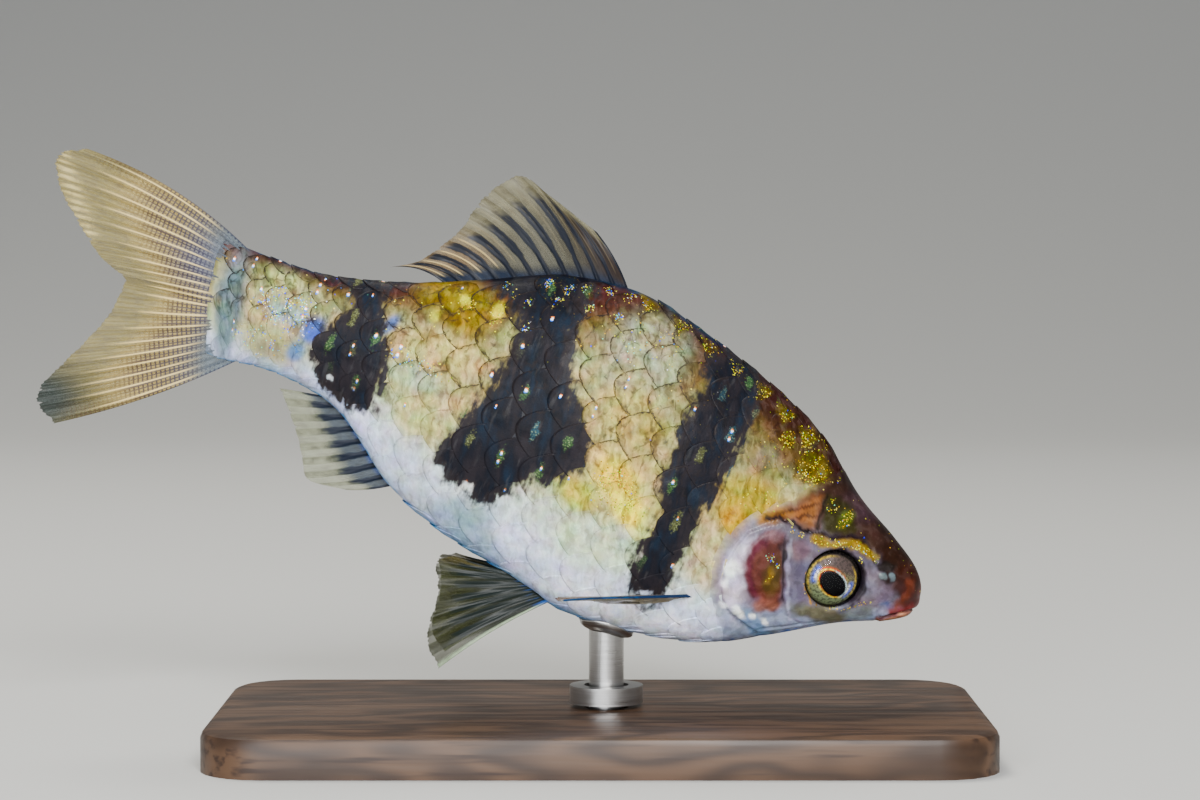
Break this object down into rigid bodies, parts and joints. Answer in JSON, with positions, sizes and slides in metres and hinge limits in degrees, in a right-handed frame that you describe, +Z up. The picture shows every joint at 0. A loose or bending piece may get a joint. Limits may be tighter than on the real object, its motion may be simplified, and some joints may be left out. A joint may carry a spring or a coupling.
{
  "type": "black ruby barb",
  "caption": "Life-size still model of a small deep-bodied barb, nose down, held by a low display stand.",
  "frame": {"origin": "centre of the stand's underside, on the surface it stands on", "axes": "+X towards the fish's head, +Y to its left flank, +Z up; the fish is pitched 22 degrees nose down"},
  "size_m": [0.059, 0.026, 0.0374],
  "materials": {
    "skin": "scaled skin, silver and olive with dark bars, wet gloss",
    "gill_cover": "smooth pearly plate with a red-brown patch",
    "eye": "clear cornea over a silver-olive iris and a black pupil",
    "fin": "thin smoky membrane with fine segmented rays",
    "base_wood": "dark walnut, oiled, edges softened",
    "steel": "fine brushed"
  },
  "bodies": {
    "root": {"head": "skin", "torso": "skin", "tail_stalk": "skin", "gill_cover_left": "gill_cover", "gill_cover_right": "gill_cover", "eye_left": "eye", "eye_right": "eye", "dorsal_fin": "fin", "anal_fin": "fin", "caudal_fin_upper": "fin", "caudal_fin_lower": "fin", "pelvic_fin_left": "fin", "pelvic_fin_right": "fin", "pectoral_fin_left": "fin", "pectoral_fin_right": "fin", "stand_base": "base_wood", "stand_collar": "steel", "stand_rod": "steel"}
  },
  "joints": []
}
